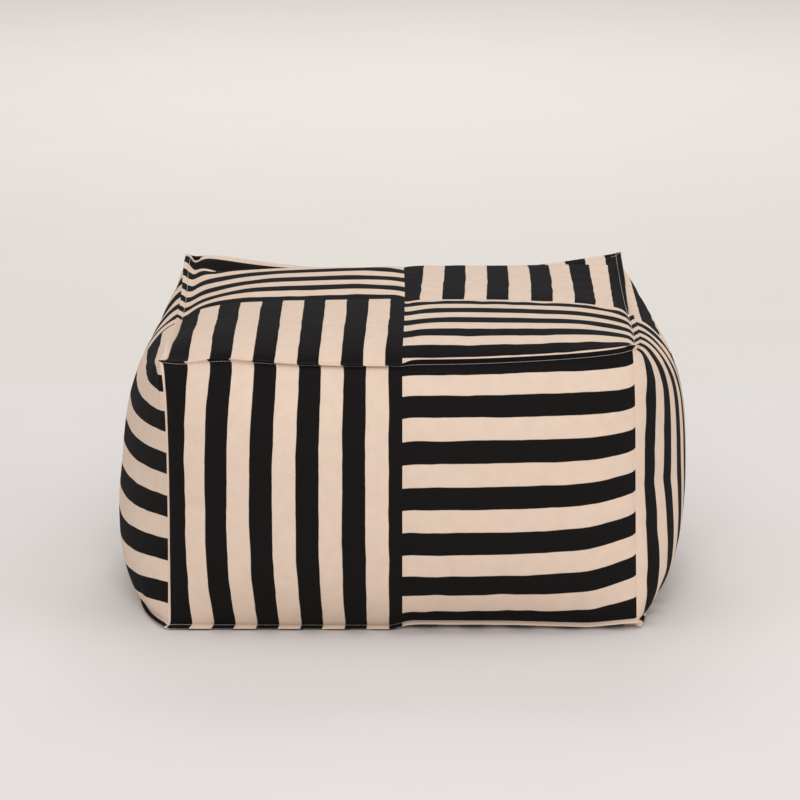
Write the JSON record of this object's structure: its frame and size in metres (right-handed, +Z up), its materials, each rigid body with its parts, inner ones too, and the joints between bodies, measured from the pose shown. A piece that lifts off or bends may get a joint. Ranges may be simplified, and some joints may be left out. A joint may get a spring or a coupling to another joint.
{
  "type": "cube pouf stool",
  "caption": "Low square pouf stool: a filled canvas cover with bulging sides, a crowned top, a flat base, stitched flange seams and small pointed corners.",
  "frame": {"origin": "middle of the flat base, on the floor, under the centre of the bounding box", "axes": "+Z up, the front of the picture towards -Y, +X to the right of the front"},
  "size_m": [0.7256, 0.6798, 0.3748],
  "materials": {
    "striped_canvas": "matte cotton canvas with woven cream and black stripes"
  },
  "bodies": {
    "root": {"filled_cover": "striped_canvas"}
  },
  "joints": []
}
